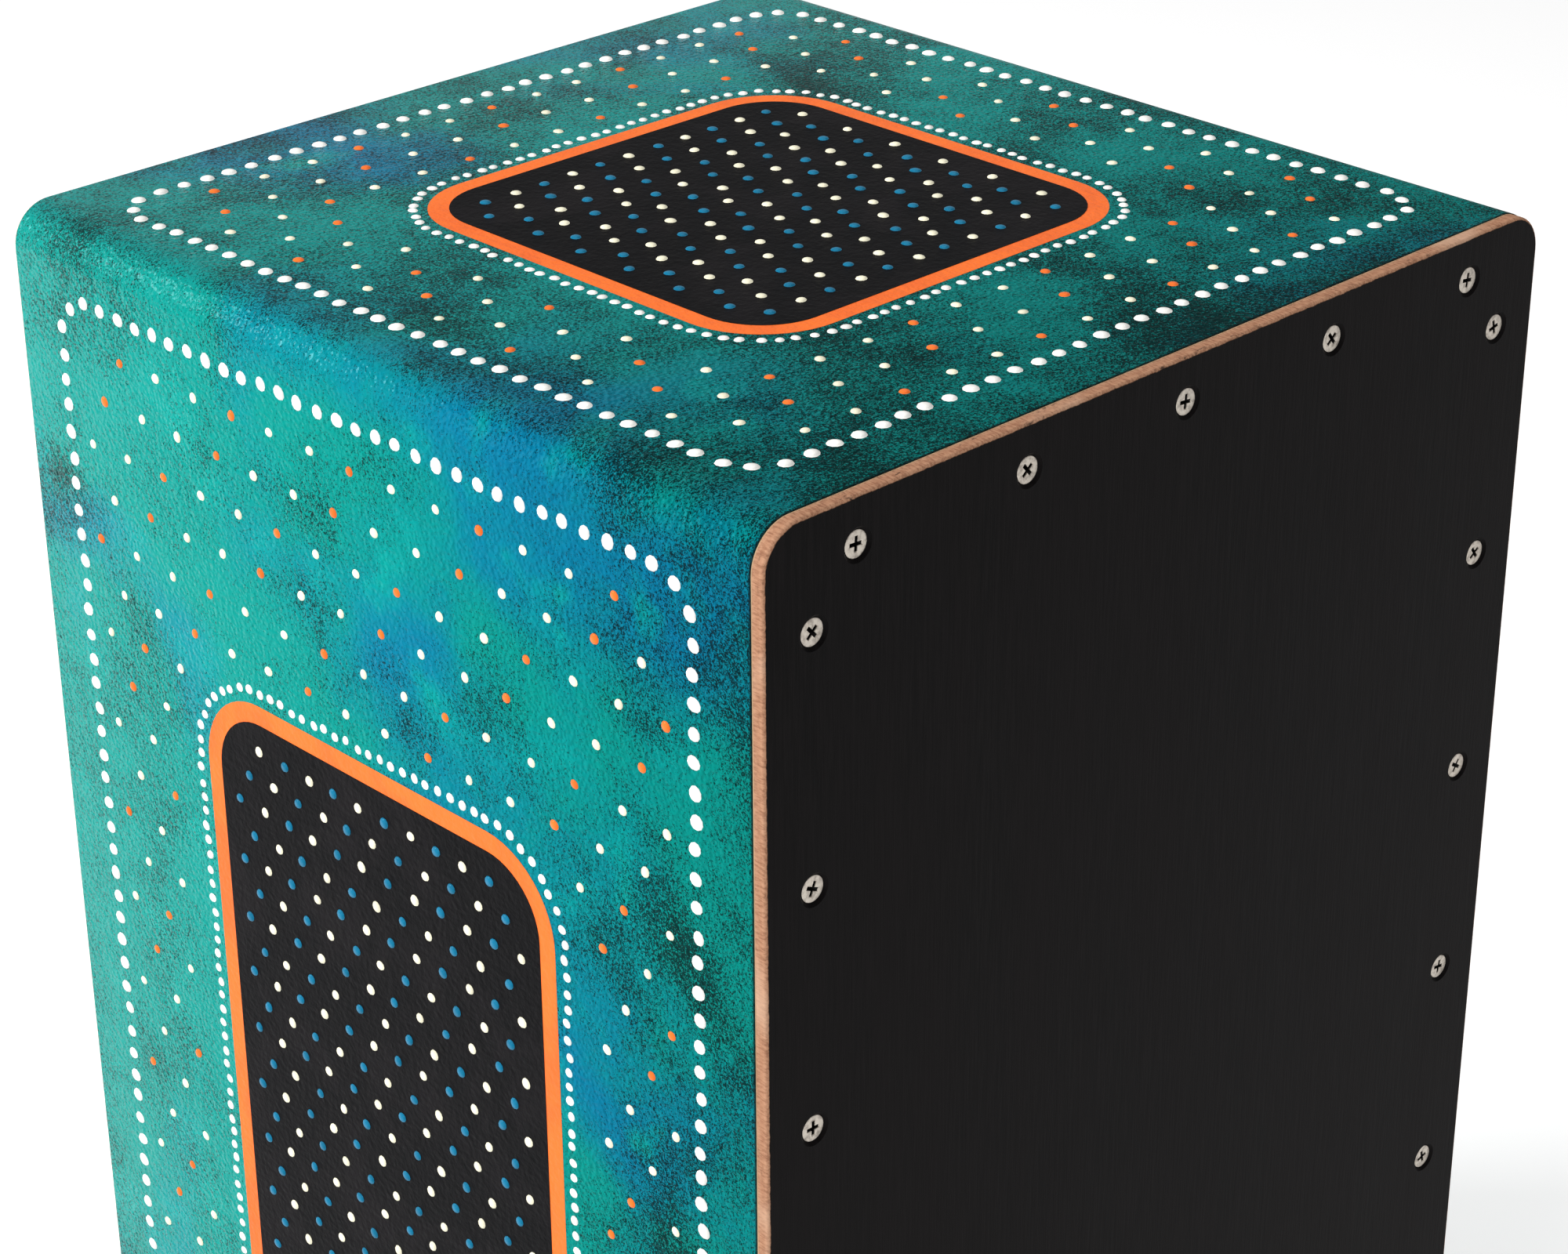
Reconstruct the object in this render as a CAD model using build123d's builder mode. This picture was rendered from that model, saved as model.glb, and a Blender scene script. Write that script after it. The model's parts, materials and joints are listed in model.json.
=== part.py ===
"""A cajon: a box drum that the player sits on.

A rebated plywood shell carries a thin front plate (the tapa) screwed over its front edges, a rear
plate with a round sound hole let in between the panels, screw battens and glued corner blocks, four
rubber feet, and a snare bar that swings the wires on and off the back of the tapa.

Row frame, in millimetres: X across the width, +Y towards the rear, +Z up. The tapa faces -Y. The
origin is on the floor, under the middle of the box.
"""

import os
from math import asin, atan2, degrees, hypot

from build123d import *

os.makedirs("parts", exist_ok=True)

# ---- Driving dimensions ----------------------------------------------------------------------

# Shell
body_width = 300.0
body_height = 480.0
shell_depth = 298.0
corner_radius = 12.0
panel_thickness = 9.0
rebate_depth = 4.5

# Front and rear plates
tapa_thickness = 4.0
tapa_edge_round = 0.9
rear_thickness = 4.0
rear_edge_round = 0.6
rear_recess = 1.0
rear_edge_gap = 0.5
sound_hole_radius = 60.0
sound_hole_drop = 185.0
sound_hole_round = 1.0

# Battens and corner blocks inside the shell
batten_width = 18.0
glue_block_leg = 18.0

# Plate screws: a row along the top and bottom, a column down each side
tapa_row_inset = 13.0
tapa_column_inset = 16.5
end_inset = 31.0
tapa_screws_across = 5
tapa_screws_down = 7
rear_screws_across = 3
rear_screws_down = 5
screw_head_radius = 3.7
screw_shank_radius = 1.75
screw_rim = 0.25
countersink_radius = 4.7
countersink_angle = 90.0
recess_length = 4.0
recess_width = 0.95
recess_depth = 1.7
tip_length = 4.0
pan_head_round_share = 0.6
pan_recess_share = 0.25
wood_past_tip = 1.5
screw_turn = 67.0

# Rubber feet
foot_height = 10.0
foot_radius = 15.0
foot_tread_radius = 12.5
foot_edge_round = 1.2
foot_inset = 28.0
foot_recess_radius = 5.6
foot_recess_depth = 5.0
foot_washer_radius = 5.2
foot_washer_thickness = 1.0
foot_screw_head_radius = 4.0
foot_screw_head_height = 2.0
foot_screw_shank_radius = 1.9

# Snare bar and the blocks that it turns in
bar_drop = 175.0
bar_side = 16.0
bar_end_gap = 0.5
journal_radius = 6.0
journal_length = 25.0
bore_end_gap = 1.0
block_length = 30.0
block_depth = 40.0
block_height = 60.0
block_screw_spacing = 40.0
block_screw_head_radius = 4.0
block_screw_shank_radius = 2.0
block_screw_bite = 6.0

# Snare wires: strands soldered to a base strip and a tip strip
strand_count = 10
strand_pitch = 4.2
strand_radius = 0.75
strand_reach = 130.0
strip_thickness = 0.6
strip_height = 12.0
tip_strip_height = 7.0
strip_margin = 2.5
solder_bite = 0.3
set_offset = 52.0
clamp_thickness = 2.0
clamp_height = 7.0
clamp_corner_radius = 1.0
clamp_screw_spacing = 30.0
clamp_screw_shank_radius = 1.5
clamp_screw_head_radius = 2.9
clamp_screw_head_height = 1.7
clamp_screw_length = 11.0

# Lock knob that clamps the bar
knob_radius = 10.0
knob_lobe_radius = 3.2
knob_lobes = 5
knob_thickness = 12.0
knob_stand_off = 2.0
knob_stud_radius = 3.0
knob_stud_bite = 8.0
knob_edge_round = 0.8
knob_from_wall = 17.0
insert_radius = 5.0
insert_length = 10.0

# Clearances
fit_clearance = 0.05
screw_clearance = 0.1
tapa_gap = 0.3
stud_gap = 0.3
pilot_gap = 0.5

# ---- Levels and faces worked out from them -----------------------------------------------------

shell_bottom = foot_height
shell_top = foot_height + body_height
shell_middle = (shell_bottom + shell_top) / 2
front_face = -(tapa_thickness + shell_depth) / 2
shell_front = front_face + tapa_thickness
shell_back = shell_front + shell_depth
rear_face = shell_back - rear_recess
rear_batten_face = rear_face - rear_thickness
inner_half_width = body_width / 2 - panel_thickness
inner_top = shell_top - panel_thickness
inner_bottom = shell_bottom + panel_thickness

screw_sink = countersink_radius - screw_head_radius - screw_rim - fit_clearance
batten_bite = batten_width - wood_past_tip

bar_axis_y = shell_front + batten_width + block_depth / 2
bar_axis_z = shell_top - bar_drop
bar_half_length = inner_half_width - block_length - bar_end_gap
strand_face = bar_side / 2 + strip_thickness - solder_bite + 2 * strand_radius
strip_width = (strand_count - 1) * strand_pitch + 2 * strand_radius + 2 * strip_margin

# The wires lean from the bar until the front of their tips is tapa_gap behind the tapa.
tip_travel = bar_axis_y - shell_front - tapa_gap
lean = degrees(asin(tip_travel / hypot(strand_reach, strand_face)) - atan2(strand_face, strand_reach))


def facing_front(y):
    """A plane across the box at that depth, seen from the front: its normal is -Y."""
    return Plane.XZ.offset(-y)


def facing_rear(y):
    """A plane across the box at that depth, seen from the rear: its normal is +Y."""
    return Plane(origin=(0, y, 0), x_dir=(-1, 0, 0), z_dir=(0, 1, 0))


def write(built, name):
    """Labels a finished piece and writes it under its node's name."""
    built.part.label = name
    export_step(built.part, f"parts/{name}.step")


def plate_screw_spots(row_inset, column_inset, across, down):
    """Places of a plate's screws on a plane through the middle of the plate."""
    row_step = (body_width - 2 * end_inset) / (across - 1)
    column_step = (body_height - 2 * end_inset) / (down - 1)
    rows = GridLocations(row_step, body_height - 2 * row_inset, across, 2)
    columns = GridLocations(body_width - 2 * column_inset, column_step, 2, down)
    return [*rows.locations, *columns.locations]


rear_inset = panel_thickness + batten_width / 2
rear_spots = plate_screw_spots(rear_inset, rear_inset, rear_screws_across, rear_screws_down)
tapa_spots = plate_screw_spots(
    tapa_row_inset, tapa_column_inset, tapa_screws_across, tapa_screws_down
)


def countersunk_screw(head_radius, shank_radius, length):
    """A cross-recess wood screw, its head's top at the origin and its tip along -Z."""
    cone_foot = -(screw_rim + head_radius - shank_radius)
    with BuildPart() as screw:
        with BuildSketch(Plane.XZ):
            with BuildLine():
                Polyline(
                    (0, 0),
                    (head_radius, 0),
                    (head_radius, -screw_rim),
                    (shank_radius, cone_foot),
                    (shank_radius, tip_length - length),
                    (0, -length),
                    close=True,
                )
            make_face()
        revolve(axis=Axis.Z)
        with BuildSketch():
            Rectangle(recess_length, recess_width)
            Rectangle(recess_width, recess_length)
        extrude(amount=-recess_depth, mode=Mode.SUBTRACT)
    return screw.part


def pan_screw(head_radius, head_height, shank_radius, length):
    """A pan-head screw, the underside of its head at the origin and its tip along -Z."""
    with BuildPart() as screw:
        with BuildSketch(Plane.XZ):
            with BuildLine():
                Polyline(
                    (0, head_height),
                    (0, -length),
                    (shank_radius, -length + shank_radius),
                    (shank_radius, 0),
                    (head_radius, 0),
                    (head_radius, head_height),
                    close=True,
                )
            make_face()
        revolve(axis=Axis.Z)
        fillet(screw.edges().group_by(Axis.Z)[-1], head_height * pan_head_round_share)
        with BuildSketch(Plane.XY.offset(head_height)):
            Rectangle(head_radius, head_radius * pan_recess_share)
            Rectangle(head_radius * pan_recess_share, head_radius)
        extrude(amount=-head_height * pan_head_round_share, mode=Mode.SUBTRACT)
    return screw.part


# ---- Shell: four rebated panels ------------------------------------------------------------------


def shell_outline():
    """Keeps only what lies inside the shell's rounded outline. It is used inside a sketch."""
    with Locations((0, shell_middle)):
        RectangleRounded(body_width, body_height, corner_radius, mode=Mode.INTERSECT)


def cap_section(outer_z, inward):
    """The section of the top or bottom panel, whose ends are rebated over the side panels."""
    lip = panel_thickness - rebate_depth
    with Locations((0, outer_z + inward * panel_thickness / 2)):
        Rectangle(2 * inner_half_width, panel_thickness)
    with Locations((0, outer_z + inward * lip / 2)):
        Rectangle(body_width, lip)
    shell_outline()


with BuildPart() as top_panel:
    with BuildSketch(facing_front(shell_back)):
        cap_section(shell_top, -1)
    extrude(amount=shell_depth)
write(top_panel, "top_panel")

foot_x = body_width / 2 - foot_inset
foot_y = shell_depth / 2 - foot_inset
foot_middle_y = (shell_front + shell_back) / 2
foot_spots = GridLocations(2 * foot_x, 2 * foot_y, 2, 2).locations
foot_names = ("front_left", "rear_left", "front_right", "rear_right")
foot_screw_seat = foot_recess_depth - foot_washer_thickness
foot_screw_length = foot_height - foot_screw_seat + panel_thickness - wood_past_tip
foot_pilot_depth = foot_screw_length + foot_screw_seat - foot_height + pilot_gap
under_shell = Plane(origin=(0, foot_middle_y, shell_bottom), x_dir=(1, 0, 0), z_dir=(0, 0, -1))

with BuildPart() as bottom_panel:
    with BuildSketch(facing_front(shell_back)):
        cap_section(shell_bottom, 1)
    extrude(amount=shell_depth)
    with Locations(under_shell):
        with GridLocations(2 * foot_x, 2 * foot_y, 2, 2):
            Hole(foot_screw_shank_radius + fit_clearance, depth=foot_pilot_depth)
write(bottom_panel, "bottom_panel")

for name, side in (("left_panel", -1), ("right_panel", 1)):
    inner_face = Plane(
        origin=(side * inner_half_width, bar_axis_y, bar_axis_z), x_dir=(0, 1, 0), z_dir=(-side, 0, 0)
    )
    with BuildPart() as side_panel:
        with BuildSketch(facing_front(shell_back)):
            with Locations((side * (body_width - panel_thickness) / 2, shell_middle)):
                Rectangle(panel_thickness, body_height - 2 * (panel_thickness - rebate_depth))
            shell_outline()
        extrude(amount=shell_depth)
        with Locations(inner_face):
            with GridLocations(block_screw_spacing, block_screw_spacing, 1, 2):
                Hole(block_screw_shank_radius + fit_clearance, depth=block_screw_bite + pilot_gap)
    write(side_panel, name)

# ---- Battens: a frame behind each plate, for its screws ----------------------------------------

side_batten_height = inner_top - inner_bottom - 2 * batten_width

batten_x = inner_half_width - batten_width / 2
batten_z = inner_top - batten_width / 2 - shell_middle

for end, plane, spots, left in (
    ("front", facing_front(shell_front), tapa_spots, -batten_x),
    ("rear", facing_rear(rear_batten_face), rear_spots, batten_x),
):
    for place, spot, size in (
        ("top", (0, shell_middle + batten_z), (2 * inner_half_width, batten_width)),
        ("bottom", (0, shell_middle - batten_z), (2 * inner_half_width, batten_width)),
        ("left", (left, shell_middle), (batten_width, side_batten_height)),
        ("right", (-left, shell_middle), (batten_width, side_batten_height)),
    ):
        with BuildPart() as batten:
            with BuildSketch(plane):
                with Locations(spot):
                    Rectangle(*size)
            extrude(amount=-batten_width)
            with Locations(plane.location * Location((0, shell_middle, 0))):
                with Locations(*spots):
                    Hole(screw_shank_radius + fit_clearance, depth=batten_bite + pilot_gap)
        write(batten, f"{end}_{place}_batten")

# ---- Glue blocks: a three-cornered strip along each corner, between the two frames ----------------

block_back_end = rear_batten_face - batten_width
block_run = block_back_end - shell_front - batten_width
for level, corner_z, inward in (("top", inner_top, -1), ("bottom", inner_bottom, 1)):
    for hand, side in (("left", -1), ("right", 1)):
        corner_x = side * inner_half_width
        with BuildPart() as glue_block:
            with BuildSketch(facing_front(block_back_end)):
                with BuildLine():
                    Polyline(
                        (corner_x, corner_z),
                        (corner_x - side * glue_block_leg, corner_z),
                        (corner_x, corner_z + inward * glue_block_leg),
                        close=True,
                    )
                make_face()
            extrude(amount=block_run)
        write(glue_block, f"{level}_{hand}_glue_block")

# ---- Tapa, rear plate and their screws --------------------------------------------------------------

front_middle = Plane(origin=(0, front_face, shell_middle), x_dir=(1, 0, 0), z_dir=(0, -1, 0))
rear_middle = Plane(origin=(0, rear_face, shell_middle), x_dir=(-1, 0, 0), z_dir=(0, 1, 0))
shank_hole_radius = screw_shank_radius + screw_clearance

with BuildPart() as tapa:
    with BuildSketch(front_middle):
        RectangleRounded(body_width, body_height, corner_radius)
    extrude(amount=-tapa_thickness)
    fillet(tapa.faces().sort_by(Axis.Y)[0].edges(), tapa_edge_round)
    with Locations(front_middle):
        with Locations(*tapa_spots):
            CounterSinkHole(shank_hole_radius, countersink_radius, counter_sink_angle=countersink_angle)
write(tapa, "tapa")

rear_width = 2 * (inner_half_width - rear_edge_gap)
rear_height = inner_top - inner_bottom - 2 * rear_edge_gap
with BuildPart() as rear_plate:
    with BuildSketch(rear_middle):
        Rectangle(rear_width, rear_height)
    extrude(amount=-rear_thickness)
    fillet(rear_plate.faces().sort_by(Axis.Y)[-1].edges(), rear_edge_round)
    with Locations(rear_middle):
        with Locations((0, shell_top - sound_hole_drop - shell_middle)):
            Hole(sound_hole_radius)
        with Locations(*rear_spots):
            CounterSinkHole(shank_hole_radius, countersink_radius, counter_sink_angle=countersink_angle)
    hole_rims = rear_plate.edges().filter_by(GeomType.CIRCLE)
    fillet(hole_rims.filter_by(lambda e: abs(e.radius - sound_hole_radius) < 0.01), sound_hole_round)
write(rear_plate, "rear_plate")

for plate, plane, spots, thickness in (
    ("tapa", front_middle, tapa_spots, tapa_thickness),
    ("rear_plate", rear_middle, rear_spots, rear_thickness),
):
    screw_length = thickness + batten_bite - screw_sink
    one_screw = countersunk_screw(screw_head_radius, screw_shank_radius, screw_length)
    with BuildPart() as plate_screws:
        for number, spot in enumerate(spots):
            turned = plane.location * spot * Location((0, 0, -screw_sink), (0, 0, number * screw_turn))
            with Locations(turned):
                add(one_screw)
    write(plate_screws, f"{plate}_screws")

# ---- Feet, with a washer and a screw in each -----------------------------------------------------------

for name, spot in zip(foot_names, foot_spots):
    with BuildPart() as foot:
        with BuildSketch(Plane.XZ):
            with BuildLine():
                Polyline(
                    (0, 0),
                    (foot_tread_radius, 0),
                    (foot_radius, foot_height),
                    (0, foot_height),
                    close=True,
                )
            make_face()
        revolve(axis=Axis.Z)
        fillet(foot.faces().sort_by(Axis.Z)[0].edges(), foot_edge_round)
        with Locations(Plane(origin=(0, 0, 0), z_dir=(0, 0, -1))):
            CounterBoreHole(foot_screw_shank_radius + screw_clearance, foot_recess_radius, foot_recess_depth)
    foot.part.locate(Location((0, foot_middle_y, 0)) * spot)
    write(foot, f"foot_{name}")

with BuildPart() as foot_washers:
    with Locations((0, foot_middle_y, foot_screw_seat)):
        with GridLocations(2 * foot_x, 2 * foot_y, 2, 2):
            Cylinder(
                foot_washer_radius, foot_washer_thickness, align=(Align.CENTER, Align.CENTER, Align.MIN)
            )
            Hole(foot_screw_shank_radius + screw_clearance)
write(foot_washers, "foot_washers")

foot_screw = pan_screw(
    foot_screw_head_radius, foot_screw_head_height, foot_screw_shank_radius, foot_screw_length
)
with BuildPart() as foot_screws:
    with Locations(Plane(origin=(0, foot_middle_y, foot_screw_seat), z_dir=(0, 0, -1))):
        with GridLocations(2 * foot_x, 2 * foot_y, 2, 2):
            add(foot_screw)
write(foot_screws, "foot_screws")

# ---- Snare bar, in a block on each side panel ----------------------------------------------------------

bore_depth = journal_length + bore_end_gap
block_screw_length = block_length + block_screw_bite
knob_x = inner_half_width - knob_from_wall
block_back = bar_axis_y + block_depth / 2

for hand, side in (("left", -1), ("right", 1)):
    block_face = Plane(
        origin=(side * (inner_half_width - block_length), bar_axis_y, bar_axis_z),
        x_dir=(0, 1, 0),
        z_dir=(-side, 0, 0),
    )
    with BuildPart() as pivot_block:
        with BuildSketch(block_face):
            Rectangle(block_depth, block_height)
        extrude(amount=-block_length)
        with Locations(block_face):
            Hole(journal_radius + fit_clearance, depth=bore_depth)
            with GridLocations(block_screw_spacing, block_screw_spacing, 1, 2):
                CounterSinkHole(
                    block_screw_shank_radius + fit_clearance,
                    block_screw_head_radius + screw_rim + 2 * screw_clearance,
                    counter_sink_angle=90,
                )
        if hand == "right":
            with Locations(Plane(origin=(knob_x, block_back, bar_axis_z), z_dir=(0, 1, 0))):
                Hole(insert_radius + fit_clearance, depth=insert_length)
                Hole(knob_stud_radius + fit_clearance, depth=block_depth / 2)
    write(pivot_block, f"{hand}_pivot_block")

block_screw = countersunk_screw(block_screw_head_radius, block_screw_shank_radius, block_screw_length)
with BuildPart() as pivot_block_screws:
    for side in (-1, 1):
        for step in (-1, 1):
            head = Plane(
                origin=(
                    side * (inner_half_width - block_length),
                    bar_axis_y,
                    bar_axis_z + step * block_screw_spacing / 2,
                ),
                x_dir=(0, 1, 0),
                z_dir=(-side, 0, 0),
            )
            with Locations(head.offset(-screw_clearance)):
                add(block_screw)
write(pivot_block_screws, "pivot_block_screws")

# The snare bar's own plane leans with the wires: x across, y up along the strands, z towards the tapa.
bar_plane = Plane(origin=(0, bar_axis_y, bar_axis_z), x_dir=(1, 0, 0), z_dir=(0, -1, 0)).rotated((lean, 0, 0))
bar_front = bar_plane.offset(bar_side / 2)
clamp_front = bar_front.offset(strip_thickness + clamp_thickness)
clamp_low = (clamp_height - strip_height) / 2
clamp_screw_spots = [
    Location((set_side * set_offset + step * clamp_screw_spacing / 2, clamp_low))
    for set_side in (-1, 1)
    for step in (-1, 1)
]

with BuildPart() as snare_bar:
    with BuildSketch(bar_plane.offset(-bar_side / 2)):
        Rectangle(2 * bar_half_length, bar_side)
    extrude(amount=bar_side)
    with BuildSketch(Plane.YZ.offset(-inner_half_width + block_length - journal_length)):
        with Locations((bar_axis_y, bar_axis_z)):
            Circle(journal_radius)
    extrude(amount=2 * (inner_half_width - block_length + journal_length))
    with Locations(bar_front):
        with Locations(*clamp_screw_spots):
            Hole(clamp_screw_shank_radius + fit_clearance, depth=clamp_screw_length)
write(snare_bar, "snare_bar")

# ---- Snare wires, clamps and clamp screws --------------------------------------------------------------

strand_start = clamp_low + clamp_height / 2 + strand_radius
strand_length = strand_reach - strand_start

for hand, set_side in (("left", -1), ("right", 1)):
    middle_x = set_side * set_offset
    with BuildPart() as snare_wires:
        with BuildSketch(bar_front):
            with Locations((middle_x, 0)):
                Rectangle(strip_width, strip_height)
            with Locations((middle_x, strand_reach - tip_strip_height / 2)):
                Rectangle(strip_width, tip_strip_height)
        extrude(amount=strip_thickness)
        for strand in range(strand_count):
            strand_x = middle_x + (strand - (strand_count - 1) / 2) * strand_pitch
            strand_foot = bar_plane.location * Location(
                (strand_x, strand_start, strand_face - strand_radius), (-90, 0, 0)
            )
            with Locations(strand_foot):
                Cylinder(strand_radius, strand_length, align=(Align.CENTER, Align.CENTER, Align.MIN))
        with Locations(bar_front.offset(strip_thickness)):
            with Locations(*clamp_screw_spots):
                Hole(clamp_screw_shank_radius + fit_clearance, depth=strip_thickness)
    write(snare_wires, f"snare_wires_{hand}")

    with BuildPart() as clamp:
        with BuildSketch(bar_front.offset(strip_thickness)):
            with Locations((middle_x, clamp_low)):
                RectangleRounded(strip_width, clamp_height, clamp_corner_radius)
        extrude(amount=clamp_thickness)
        with Locations(clamp_front):
            with Locations(*clamp_screw_spots):
                Hole(clamp_screw_shank_radius + fit_clearance, depth=clamp_thickness)
    write(clamp, f"snare_clamp_{hand}")

clamp_screw = pan_screw(
    clamp_screw_head_radius, clamp_screw_head_height, clamp_screw_shank_radius, clamp_screw_length
)
with BuildPart() as clamp_screws:
    with Locations(clamp_front):
        with Locations(*clamp_screw_spots):
            add(clamp_screw)
write(clamp_screws, "clamp_screws")

# ---- Lock knob, its stud and the threaded insert in the right block ------------------------------------

stud_end = bar_axis_y + journal_radius + stud_gap
knob_face = block_back + knob_stand_off
knob_plane = Plane(origin=(knob_x, knob_face, bar_axis_z), z_dir=(0, 1, 0))

with BuildPart() as knob_insert:
    with BuildSketch(Plane(origin=(knob_x, block_back, bar_axis_z), z_dir=(0, -1, 0))):
        Circle(insert_radius)
        Circle(knob_stud_radius + fit_clearance, mode=Mode.SUBTRACT)
    extrude(amount=insert_length)
write(knob_insert, "knob_insert")

with BuildPart() as lock_knob:
    with BuildSketch(knob_plane):
        Circle(knob_radius)
        with PolarLocations(knob_radius, knob_lobes):
            Circle(knob_lobe_radius)
    extrude(amount=knob_thickness)
    fillet(lock_knob.faces().sort_by(Axis.Y)[-1].edges(), knob_edge_round)
    with BuildSketch(knob_plane):
        Circle(knob_stud_radius)
    extrude(amount=knob_stud_bite, mode=Mode.SUBTRACT)
write(lock_knob, "lock_knob")

with BuildPart() as knob_stud:
    with BuildSketch(Plane(origin=(knob_x, stud_end, bar_axis_z), z_dir=(0, 1, 0))):
        Circle(knob_stud_radius)
    extrude(amount=knob_face + knob_stud_bite - stud_end)
write(knob_stud, "knob_stud")
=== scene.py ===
"""Paint, dots, wood and metal for a cajon, laid out as an add-on and run as a script.

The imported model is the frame: metres, X across the width, +Y towards the rear, +Z up. Each operator
makes one piece, or one group of like pieces, around it. A painted face has its own chart, in
millimetres: seen from outside, x runs to the right and y runs down from the face's upper edge.
"""

import json
import math
import random

import bmesh
import bpy
from bpy.props import FloatProperty, FloatVectorProperty, IntProperty, PointerProperty
from mathutils import Matrix, Quaternion, Vector


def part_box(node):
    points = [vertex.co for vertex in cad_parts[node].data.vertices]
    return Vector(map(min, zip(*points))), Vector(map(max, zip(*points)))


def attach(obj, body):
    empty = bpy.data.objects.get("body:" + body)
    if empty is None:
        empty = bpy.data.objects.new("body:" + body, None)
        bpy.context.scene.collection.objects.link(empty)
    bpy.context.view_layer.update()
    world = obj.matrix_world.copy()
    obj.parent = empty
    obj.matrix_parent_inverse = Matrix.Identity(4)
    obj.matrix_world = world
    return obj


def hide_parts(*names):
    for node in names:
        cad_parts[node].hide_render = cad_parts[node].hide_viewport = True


bl_info = {
    "name": "Cajon Finishes",
    "version": (1, 0, 0),
    "blender": (4, 5, 0),
    "location": "3D View > Sidebar > Cajon",
    "description": "Painted coat with a dotted pattern, stained plates, screws and snare for a box drum",
    "category": "Object",
}

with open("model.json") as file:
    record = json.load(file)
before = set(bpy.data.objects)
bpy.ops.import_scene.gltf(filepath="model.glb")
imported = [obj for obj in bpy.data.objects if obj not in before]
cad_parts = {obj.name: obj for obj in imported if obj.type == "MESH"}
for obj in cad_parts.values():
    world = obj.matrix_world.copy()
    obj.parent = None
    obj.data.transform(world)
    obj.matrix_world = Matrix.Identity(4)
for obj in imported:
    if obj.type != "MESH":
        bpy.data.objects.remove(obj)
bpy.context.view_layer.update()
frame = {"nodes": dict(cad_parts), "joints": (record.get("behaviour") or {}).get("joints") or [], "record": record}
MM = 0.001

# The shell's outside, and its panels' thickness
SHELL_LEFT, SHELL_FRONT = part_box("left_panel")[0].x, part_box("left_panel")[0].y
SHELL_RIGHT, SHELL_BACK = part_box("right_panel")[1].x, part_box("right_panel")[1].y
SHELL_BOTTOM, SHELL_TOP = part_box("bottom_panel")[0].z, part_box("top_panel")[1].z
SHELL_MIDDLE_Z = (SHELL_BOTTOM + SHELL_TOP) / 2
PANEL = -SHELL_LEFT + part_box("left_panel")[1].x

# Chart sizes in millimetres
FACE_WIDTH = (SHELL_RIGHT - SHELL_LEFT) / MM
FACE_DEPTH = (SHELL_BACK - SHELL_FRONT) / MM
FACE_HEIGHT = (SHELL_TOP - SHELL_BOTTOM) / MM

# The studio, in metres: each lamp's setting, place and width
LAMPS = (
    ("key", (-3.2, -0.6, 1.7), 2.0),
    ("fill", (0.2, 0.2, 2.6), 2.0),
    ("back", (-1.65, 1.50, 1.50), 0.5),
)
FLOOR_REACH, FLOOR_DROP = 30.0, 0.3 * MM
FLOOR_GREY, FLOOR_GLOW = 0.80, 0.34
SENSOR_WIDTH = 36.0

# A screw, in millimetres: its rim, the cross's arm and half width, and the radii and depths down the
# head, cone, shank and tip, with depths past the shank measured from its end
SCREW_RIM, CROSS_ARM, CROSS_HALF = 3.45, 2.2, 0.56
CROSS_STEPS = ((0.93, 0.15), (0.84, 0.6), (0.45, 1.8))
HEAD_STEPS = ((3.62, 0.03), (3.70, 0.10), (3.70, 0.25), (1.80, 2.15), (1.72, 2.6))
SHANK_RADIUS, TIP_RADIUS, TIP_LENGTH = 1.72, 0.12, 4.0
SCREW_TURN = 1.17

# The snare, in millimetres: its base and tip strips, and where its coils start, stand and how far apart
BASE_STRIP, TIP_STRIP, TIP_INSET, STRIP_THICK, STRIP_EDGE = 12.0, 7.0, 3.5, 0.6, 0.12
COIL_START, COIL_END, COIL_PITCH, COIL_STAND_OFF, COIL_RADIUS = 5.2, 1.0, 4.2, 0.95, 0.55


# ---- Settings ----------------------------------------------------------------------------------


def length(name, description, millimetres):
    """A length property whose default is given in millimetres."""
    return FloatProperty(name=name, description=description, default=millimetres * MM, unit="LENGTH")


def colour(name, description, red, green, blue):
    """A colour property in linear light."""
    return FloatVectorProperty(
        name=name, description=description, subtype="COLOR", size=3, min=0.0, max=1.0,
        default=(red, green, blue),
    )


class CajonPaint(bpy.types.PropertyGroup):
    """Sizes and colours of the painted coat and its dots."""

    corner: length("Corner radius", "Radius of the shell's four long corners", 12.0)
    coat: length("Coat", "Thickness of the paint over the wood", 0.22)
    layer: length("Layer", "How far each painted shape stands above the one under it", 0.09)
    dot_height: FloatProperty(name="Dot height", description="Height of a dot over its radius", default=0.42)
    teal: colour("Teal", "Ground colour", 0.0006, 0.250, 0.215)
    blue: colour("Blue", "Cloudy patches in the ground", 0.0008, 0.150, 0.300)
    black: colour("Black", "Panels under the dots, and the sprayed speckle", 0.0022, 0.0020, 0.0026)
    orange: colour("Orange", "Rims of the panels, and the warm loose dots", 0.86, 0.16, 0.022)
    white: colour("White", "Borders and outlines", 0.88, 0.87, 0.83)
    cream: colour("Cream", "Loose dots, and half of those on the panels", 0.86, 0.82, 0.62)
    dot_blue: colour("Dot blue", "The other half of the dots on the panels", 0.002, 0.150, 0.275)
    seed: IntProperty(name="Seed", description="Start of the hand-made unevenness", default=7)


class CajonWood(bpy.types.PropertyGroup):
    """Colours of the stained and the bare wood."""

    stain: colour("Stain", "Black stain of the plates", 0.0016, 0.0013, 0.0013)
    ply: colour("Ply", "Long-grain layers at a ply edge", 0.40, 0.215, 0.130)
    ply_core: colour("Ply core", "Cross-grain layers at a ply edge", 0.36, 0.175, 0.100)
    birch: colour("Birch", "Bare inside of the panels", 0.62, 0.44, 0.26)
    pine: colour("Pine", "Battens and glue blocks", 0.66, 0.44, 0.22)
    beech: colour("Beech", "Pivot blocks and snare bar", 0.56, 0.32, 0.17)


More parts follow.
